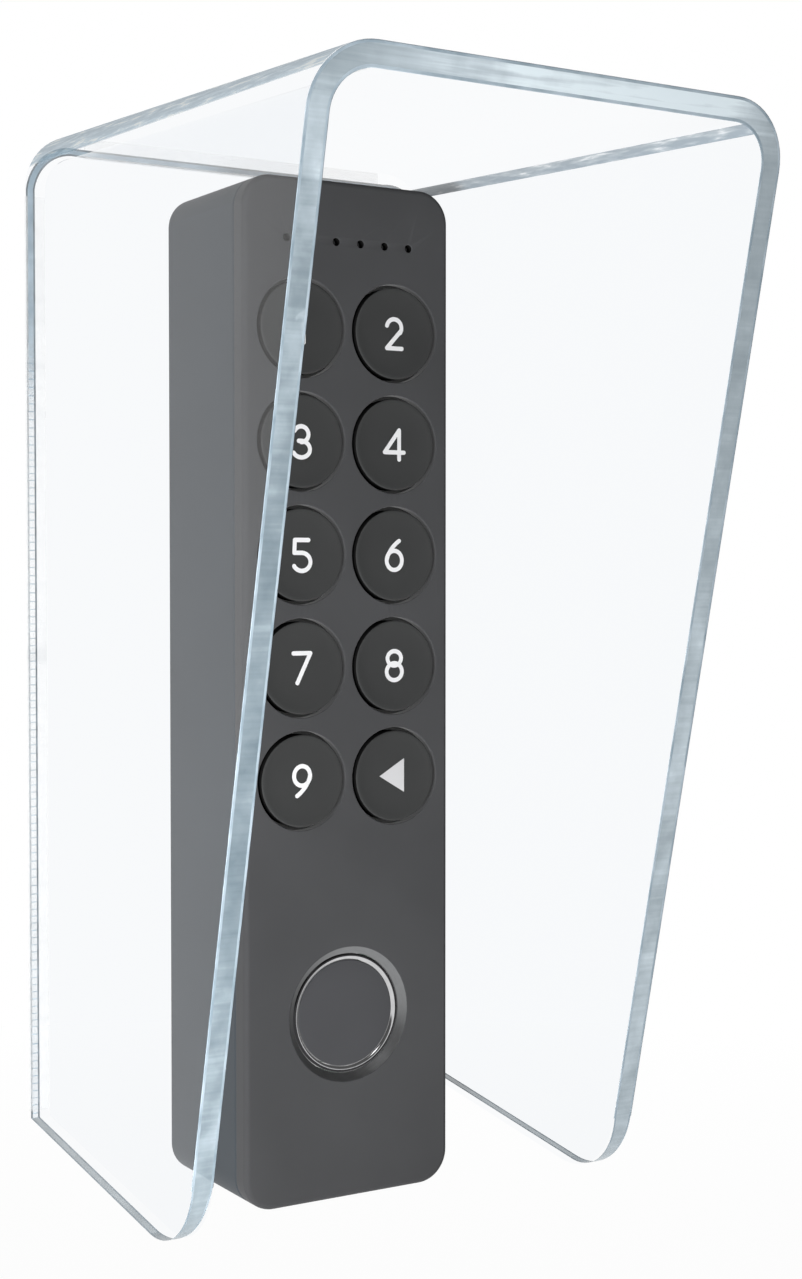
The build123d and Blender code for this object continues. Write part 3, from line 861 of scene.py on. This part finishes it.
def band_at(place, foot_count):
    """Where the band of frost and painted shade on the cut begins and ends, as shares of the sheet's
    thickness.

    The loop runs along the rear rim, down one side's rounded foot, back along the front rim and
    over the other foot.
    """
    if place < RIM_COUNT:
        share = min(1.0, min(place, RIM_COUNT - 1 - place) / BEND_STEPS)
        ends = (SIDE_BAND, TOP_BAND)
    elif place < RIM_COUNT + foot_count:
        share = max(0.0, (place - RIM_COUNT - 1) / (foot_count - 2))
        ends = (SIDE_BAND, FULL_BAND)
    elif place < 2 * RIM_COUNT + foot_count:
        share = 1.0
        ends = (SIDE_BAND, FULL_BAND)
    else:
        share = max(0.0, (2 * (RIM_COUNT + foot_count) - 2 - place) / (foot_count - 2))
        ends = (SIDE_BAND, FULL_BAND)
    return tuple(first + (last - first) * share for first, last in zip(*ends))


def bend_kind(strip, outside):
    """The material of one strip of a surface: the top is the strip between the two bends."""
    if strip == BEND_STEPS:
        return "clear_acrylic"
    step_up = strip if strip < BEND_STEPS else 2 * BEND_STEPS - strip
    angle = 90.0 * (step_up + 0.5) / BEND_STEPS
    if outside:
        return "bend" if angle < OUTER_BEND_TO else "clear_acrylic"
    return "bend_line" if BEND_LINE_FROM < angle < BEND_LINE_TO else "clear_acrylic"


def make_hood():
    vertices, faces, kinds = hood_mesh()
    mesh = bpy.data.meshes.new("clear_hood")
    mesh.from_pydata([Vector(v) * MM for v in vertices], [], faces)
    names = ["clear_acrylic", "bend", "bend_line", "cut_edge", "foot_edge", "rear_edge",
             "rear_line", "clear_edge", "edge_line"]
    for name in names:
        mesh.materials.append(MATERIALS[name])
    mesh.polygons.foreach_set("material_index", [names.index(kind) for kind in kinds])
    smooth(mesh, SHARP_ANGLE)
    hood = add_object("clear_hood", mesh)
    corner = hood.modifiers.new("broken_corners", "BEVEL")
    corner.limit_method = "ANGLE"
    corner.angle_limit = math.radians(BROKEN_CORNER_ANGLE)
    corner.width = EDGE_BREAK * MM
    corner.segments = 2
    weigh_normals(hood)
    finish_mesh(hood)
    hood.visible_shadow = False
    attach(hood, "wall_side")
    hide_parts("rain_hood")


# The keypad's front


def rounded_outline(inset):
    """The cover's outline, drawn in by the inset, with as many points whatever the inset."""
    low, high = box_mm("front_cover")
    radius = COVER_RADIUS - inset
    middles = [(high.x - COVER_RADIUS, high.z - COVER_RADIUS, 0),
               (low.x + COVER_RADIUS, high.z - COVER_RADIUS, 1),
               (low.x + COVER_RADIUS, low.z + COVER_RADIUS, 2),
               (high.x - COVER_RADIUS, low.z + COVER_RADIUS, 3)]
    points = []
    for x, z, quarter in middles:
        for i in range(CORNER_STEPS + 1):
            angle = math.pi / 2 * (quarter + i / CORNER_STEPS)
            points.append((x + radius * math.cos(angle), z + radius * math.sin(angle)))
    return points


def key_names():
    return [name for name in frame["nodes"] if name.startswith("keycap_")]


def middle_of(node):
    low, high = box_mm(node)
    return (low.x + high.x) / 2, (low.z + high.z) / 2


def make_cover():
    low, high = box_mm("front_cover")
    front = -low.y
    face_back = front - COVER_FACE
    guide_x, guide_z = middle_of("light_guide")
    seam = -box_mm("rear_case")[0].y
    build = Builder()
    outer = [build.loop(rounded_outline(COVER_WALL), face_back),
             build.loop(rounded_outline(COVER_WALL), seam),
             build.loop(rounded_outline(SEAM_CHAMFER), seam),
             build.loop(rounded_outline(0.0), seam + SEAM_CHAMFER)]
    for inset, depth in rounded_edge(0.0, front, COVER_ROUNDING, -1):
        outer.append(build.loop(rounded_outline(inset), depth))
    build.bridge_all(outer)
    fronts = [outer[-1]]
    backs = [outer[0]]
    holes = []
    for name in key_names():
        x, z = middle_of(name)
        holes.append((x, z, key_radius() + KEY_GAP, CIRCLE_STEPS))
    for i in range(LIGHT_COUNT):
        x = guide_x + (i - (LIGHT_COUNT - 1) / 2) * LIGHT_PITCH
        holes.append((x, guide_z, LIGHT_RADIUS, LIGHT_STEPS))
    for x, z, radius, steps in holes:
        wall = [build.loop(circle(radius, x, z, steps), face_back)]
        for reach, depth in rounded_edge(radius, front, HOLE_RIM, -1, HOLE_RIM_STEPS):
            wall.append(build.loop(circle(reach, x, z, steps), depth))
        build.bridge_all(wall)
        fronts.append(wall[-1])
        backs.append(wall[0])
    sensor_x, sensor_z = middle_of("sensor_bezel")
    bezel_low, bezel_high = box_mm("sensor_bezel")
    opening = (bezel_high.x - bezel_low.x) / 2 + BEZEL_CLEARANCE
    recess = opening + RECESS_FLARE
    profile = [(opening, face_back), (opening, -bezel_low.y),
               (recess - HOLE_RIM, front - HOLE_RIM * 1.3), (recess, front - HOLE_RIM * 0.4),
               (recess + HOLE_RIM, front)]
    wall = [build.loop(circle(radius, sensor_x, sensor_z), depth) for radius, depth in profile]
    build.bridge_all(wall)
    build.cap(fronts + [wall[-1]])
    build.cap(backs + [wall[0]])
    cover = make_piece("keypad_cover", build.vertices, build.faces, "keypad",
                       ["housing_plastic", "flare_metal", "groove"])
    # the recess flare takes the metal, and the light holes' walls take the painted gap shade
    for face in cover.data.polygons:
        middle = face.center / MM
        reach = math.hypot(middle.x - sensor_x, middle.z - sensor_z)
        if opening < reach < recess and -middle.y < front - FACE_MARGIN:
            face.material_index = 1
        elif abs(middle.z - guide_z) < LIGHT_RADIUS and -middle.y < front - HOLE_RIM:
            face.material_index = 2
    weigh_normals(cover)
    finish_mesh(cover)
    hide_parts("front_cover")


def key_radius():
    low, high = box_mm("keycap_1")
    return (high.z - low.z) / 2


def cap_radius():
    """The cap's own radius, a shade under the CAD one, as its sides draw in."""
    return key_radius() - KEY_INSET


def dish_depth(radius, front):
    """Depth of a key's dished face at a distance from its middle, steepest near its rim."""
    share = radius / (cap_radius() - KEY_RIM)
    return front - KEY_DISH * (1 - share ** 4)


def make_keycap(node):
    low, high = box_mm(node)
    name = node.replace("keycap_", "")
    radius = cap_radius()
    front, back = -low.y, -high.y
    profile = [(0.0, back), (radius - KEY_BACK_CHAMFER, back), (radius, back + KEY_BACK_CHAMFER)]
    profile += rounded_edge(radius, front, KEY_RIM)
    inner = radius - KEY_RIM
    for i in range(1, DISH_STEPS):
        reach = inner * (1 - i / DISH_STEPS)
        profile.append((reach, dish_depth(reach, front)))
    profile.append((0.0, dish_depth(0.0, front)))
    cap = lathe("key_" + name + "_cap", middle_of(node), profile, False, "key_" + name,
                ["key_plastic", "groove"])
    # painted shade: the cap's sides and back take the near-black gap material, so the gap round the
    # key reads dark
    for face in cap.data.polygons:
        if face.normal.y > KEY_SIDE_TURN:
            face.material_index = 1
    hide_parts(node)
    return front


# Legends: each is a few lines and arcs, as wide as one stroke


def capsule(points):
    """The outline of a stroke along the points, with round ends."""
    half = STROKE / 2
    left, right = [], []
    for i, point in enumerate(points):
        before = points[max(i - 1, 0)]
        after = points[min(i + 1, len(points) - 1)]
        along = (Vector(after) - Vector(before)).normalized()
        side = Vector((-along.y, along.x)) * half
        left.append(Vector(point) + side)
        right.append(Vector(point) - side)
    ends = []
    for point, towards in ((points[-1], Vector(points[-1]) - Vector(points[-2])),
                           (points[0], Vector(points[0]) - Vector(points[1]))):
        heading = math.atan2(towards.y, towards.x)
        cap = []
        for i in range(1, STROKE_END_STEPS):
            angle = heading + math.pi / 2 - math.pi * i / STROKE_END_STEPS
            cap.append(Vector(point) + Vector((math.cos(angle), math.sin(angle))) * half)
        ends.append(cap)
    return left + ends[0] + right[::-1] + ends[1]


def arc(x, z, rx, rz, start, end):
    """Points on an ellipse from one angle to another, in degrees."""
    steps = max(ARC_LEAST_STEPS, int(abs(end - start) / ARC_STEP_DEGREES))
    angles = [math.radians(start + (end - start) * i / steps) for i in range(steps + 1)]
    return [(x + rx * math.cos(a), z + rz * math.sin(a)) for a in angles]


def curve(p0, p1, p2):
    """Points on the quadratic curve through p0 and p2, drawn towards p1."""
    points = []
    for i in range(CURVE_STEPS + 1):
        t = i / CURVE_STEPS
        points.append(tuple((1 - t) ** 2 * a + 2 * t * (1 - t) * b + t * t * c
                            for a, b, c in zip(p0, p1, p2)))
    return points


def ring(x, z, rx, rz):
    return [arc(x, z, rx, rz, 0, 180), arc(x, z, rx, rz, 180, 360)]


def glyph(name):
    """A numeral's strokes about the key's middle."""
    w, h = HALF_WIDTH, HALF_HEIGHT
    six = ring(0.0, 1.35 - h, w, 1.35) + [curve((0.62 * w, h), (-0.75 * w, 0.42 * h), (-w, 1.3 - h))]
    strokes = {
        "1": [[(0.35, -h), (0.35, h)], [(0.35, h), (-0.75, h - 0.85)]],
        "2": [arc(-0.02, h - 1.2, 1.2, 1.2, 168, -34), [(0.97, 0.33), (-1.22, -h)],
              [(-1.22, -h), (1.22, -h)]],
        "3": [arc(-0.05, h - 1.08, 1.13, 1.08, 155, -90), arc(-0.05, -1.08, 1.36, 1.13, 90, -152),
              [(-0.45, 0.05), (-0.05, 0.05)]],
        "4": [[(0.8, h), (-1.58, -1.07)], [(-1.58, -1.07), (1.58, -1.07)], [(0.8, h), (0.8, -h)]],
        "5": [[(1.05, h), (-1.08, h)], [(-1.08, h), (-1.16, 0.28)], [(-1.16, 0.28), (0.0, 0.28)],
              arc(0.0, -0.965, 1.36, 1.245, 90, -152)],
        "6": six,
        "7": [[(-1.33, h), (1.33, h)], [(1.33, h), (-0.72, -h)]],
        "8": ring(0.0, h - 1.02, 1.12, 1.02) + ring(0.0, 1.2 - h, w, 1.2),
        "9": [[(-x, -z) for x, z in stroke] for stroke in six],
    }
    return [capsule(stroke) for stroke in strokes[name]]


def arrow_outline():
    """A solid triangle that points left."""
    return [[Vector((-2.45, 0.0)), Vector((1.6, -2.4)), Vector((1.6, 2.4))]]


def holds(outline, point):
    """True if the point is inside the outline."""
    inside = False
    for a, b in zip(outline, outline[1:] + outline[:1]):
        if (a.y > point.y) != (b.y > point.y):
            if point.x < (b.x - a.x) * (point.y - a.y) / (b.y - a.y) + a.x:
                inside = not inside
    return inside


def make_legend(name, front):
    outlines = arrow_outline() if name == "arrow" else glyph(name)
    points = [p for outline in outlines for p in outline]
    polygons = []
    start = 0
    for outline in outlines:
        polygons.append(list(range(start, start + len(outline))))
        start += len(outline)
    flat, _, found = delaunay_2d_cdt(points, [], polygons, INSIDE_ONLY, FLAT_MERGE)[:3]
    triangles = []
    for t in found:
        centre = (flat[t[0]] + flat[t[1]] + flat[t[2]]) / 3
        if any(holds(outline, centre) for outline in outlines):
            triangles.append(t)
    x, z = middle_of("keycap_" + name)
    vertices = []
    for lift in (INK_HEIGHT, -INK_DEPTH):
        for p in flat:
            depth = dish_depth(p.length, front) + lift
            vertices.append((x + p.x, -depth, z + p.y))
    count = len(flat)
    faces = [tuple(t) for t in triangles]
    uses = {}
    for t in triangles:
        for a, b in zip(t, [*t[1:], t[0]]):
            uses.setdefault(frozenset((a, b)), []).append((a, b))
    faces += [tuple(count + i for i in reversed(t)) for t in triangles]
    for found in uses.values():
        if len(found) == 1:
            a, b = found[0]
            faces.append((b, a, count + a, count + b))
    ink = "grey_ink" if name == "arrow" else "ink"
    make_piece("key_" + name + "_legend", vertices, faces, "key_" + name, [ink])


# The sensor


def make_sensor():
    centre = middle_of("fingerprint_sensor")
    low, high = box_mm("fingerprint_sensor")
    radius = (high.x - low.x) / 2
    front, back = -low.y, -high.y
    profile = [(0.0, back), (radius, back), *rounded_edge(radius, front, WINDOW_RIM),
               (radius * WINDOW_FLAT_SHARE, front), (0.0, front)]
    face = lathe("sensor_window", centre, profile, False, "keypad", ["sensor_face"])
    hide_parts("fingerprint_sensor")
    low, high = box_mm("sensor_bezel")
    outer = (high.x - low.x) / 2
    inner = radius + BEZEL_CLEARANCE
    front, back = -low.y, -high.y
    profile = [(inner, back), (outer, back), *rounded_edge(outer, front, BEZEL_RIM),
               *reversed(rounded_edge(inner, front, BEZEL_LIP, -1))]
    bezel = lathe("sensor_ring", centre, profile, True, "keypad",
                  ["bezel_metal", "lip_metal"])
    for face in bezel.data.polygons:
        middle = face.center / MM
        reach = math.hypot(middle.x - centre[0], middle.z - centre[1])
        if reach < inner + BEZEL_LIP and -middle.y > front - BEZEL_LIP:
            face.material_index = 1
    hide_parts("sensor_bezel")


# CAD nodes whose shape is right keep it


def dress_nodes():
    slots = {part["node"]: part["material_slot"] for part in frame["record"]["subparts"]}
    for name, node in frame["nodes"].items():
        node.data.materials.clear()
        node.data.materials.append(MATERIALS[slots[name]])


def smooth_copy(node, name, body, material):
    """A copy of a CAD node with smooth round faces, in the node's place."""
    mesh = frame["nodes"][node].data.copy()
    mesh.materials.clear()
    mesh.materials.append(MATERIALS[material])
    smooth(mesh, COPY_SHARP_ANGLE, COPY_MERGE, outwards=False)
    piece = add_object(name, mesh)
    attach(piece, body)
    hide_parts(node)


# Floor, light and camera


def seen_directly(nodes, links):
    """1 for rays of the camera, of a mirror and through glass, 0 for the light on a surface."""
    path = nodes.new("ShaderNodeLightPath")
    value = path.outputs["Is Camera Ray"]
    for kind in ("Is Glossy Ray", "Is Transmission Ray"):
        value = math_node(nodes, links, "MAXIMUM", value, path.outputs[kind])
    return value


def make_floor():
    """A pale floor that keeps a faint shadow and fades to white."""
    mesh = bpy.data.meshes.new("floor")
    corners = [(-FLOOR_HALF, -FLOOR_HALF), (FLOOR_HALF, -FLOOR_HALF),
               (FLOOR_HALF, FLOOR_HALF), (-FLOOR_HALF, FLOOR_HALF)]
    mesh.from_pydata([(x, y, FLOOR_Z * MM) for x, y in corners], [], [(0, 1, 2, 3)])
    stops = [(0.3, (0.90, 0.90, 0.90)), (0.7, (0.93, 0.93, 0.93))]
    material, nodes, links, shader = stained("pale_floor", 3.0, 2.0, stops, 0.9)
    shader.inputs["Specular IOR Level"].default_value = 0.0
    white = nodes.new("ShaderNodeEmission")
    place = nodes.new("ShaderNodeTexCoord")
    length = nodes.new("ShaderNodeVectorMath")
    length.operation = "LENGTH"
    links.new(place.outputs["Object"], length.inputs[0])
    fade = step(nodes, links, length.outputs["Value"], *FLOOR_FADE)
    amount = math_node(nodes, links, "MULTIPLY", fade, seen_directly(nodes, links))
    show(nodes, links, mix_shaders(nodes, links, amount, shader.outputs[0], white.outputs[0]))
    mesh.materials.append(material)
    floor = add_object("floor", mesh)


def make_world():
    """Soft light, a white background, and a dim room with a bright side for the gloss."""
    world = bpy.data.worlds.new("studio")
    bpy.context.scene.world = world
    world.use_nodes = True
    nodes, links = world.node_tree.nodes, world.node_tree.links
    soft = nodes["Background"]
    soft.inputs["Color"].default_value = WHITE
    soft.inputs["Strength"].default_value = SOFT_LIGHT
    white = nodes.new("ShaderNodeBackground")
    place = nodes.new("ShaderNodeTexCoord")
    axes = nodes.new("ShaderNodeSeparateXYZ")
    links.new(place.outputs["Generated"], axes.inputs[0])
    behind = step(nodes, links, axes.outputs["Y"], *BEHIND)
    leftward = step(nodes, links, axes.outputs["X"], *LEFTWARD)
    backdrop = math_node(nodes, links, "MULTIPLY", behind, leftward)
    low = step(nodes, links, axes.outputs["Z"], *LOW_DOWN)
    open_side = step(nodes, links, axes.outputs["X"], *OPEN_SIDE)
    horizon = math_node(nodes, links, "MULTIPLY", low, open_side)
    bright = math_node(nodes, links, "MAXIMUM", backdrop, horizon)
    room = ramp(nodes, links, bright, [(0.0, DIM_ROOM), (1.0, WHITE[:3])])
    path = nodes.new("ShaderNodeLightPath")
    colour = nodes.new("ShaderNodeMix")
    colour.data_type = "RGBA"
    colour.inputs["A"].default_value = WHITE
    links.new(path.outputs["Is Glossy Ray"], colour.inputs["Factor"])
    links.new(room, colour.inputs["B"])
    links.new(colour.outputs["Result"], white.inputs["Color"])
    surface = mix_shaders(nodes, links, seen_directly(nodes, links), soft.outputs[0],
                          white.outputs[0])
    links.new(surface, nodes["World Output"].inputs["Surface"])


def aim(thing, place, direction):
    """Puts a lamp or the camera at a place in millimetres, looking along the direction."""
    thing.location = Vector(place) * MM
    thing.rotation_mode = "QUATERNION"
    thing.rotation_quaternion = direction.to_track_quat("-Z", "Y")


def make_lamp(name, place, side, watts, mirrored=True):
    light = bpy.data.lights.new(name, "AREA")
    light.shape = "RECTANGLE"
    light.size = side * MM
    light.size_y = side * MM
    light.energy = watts
    lamp = add_object(name, light)
    lamp.visible_camera = False
    lamp.visible_glossy = mirrored
    aim(lamp, place, (Vector(LAMP_TARGET) - Vector(place)).normalized())


def make_lights():
    make_lamp("key_lamp", (-150.0, -160.0, 5.0), 70.0, 0.5, mirrored=False)
    make_lamp("fill_lamp", (420.0, -620.0, 60.0), 400.0, 0.08)
    make_lamp("top_lamp", (-260.0, -290.0, 640.0), 220.0, 0.7)


def make_camera():
    data = bpy.data.cameras.new("camera")
    data.lens = CAMERA_LENS
    camera = add_object("camera", data)
    aim(camera, CAMERA_PLACE, Vector(CAMERA_DIRECTION))
    bpy.context.scene.camera = camera


make_camera()
make_world()
make_lights()
make_floor()
dress_nodes()
make_hood()
make_cover()
for key in key_names():
    key_front = make_keycap(key)
    make_legend(key.replace("keycap_", ""), key_front)
make_sensor()
# painted shade: the case takes the darker, bluer copy of the housing plastic
smooth_copy("rear_case", "keypad_case", "keypad", "case_plastic")
smooth_copy("wall_plate", "mounting_plate", "wall_side", "plate_plastic")

# the gloss shows the studio, and no mirror image of another piece
for piece in bpy.context.scene.objects:
    if piece.type == "MESH":
        piece.visible_glossy = False

bpy.context.scene.view_settings.view_transform = "Standard"
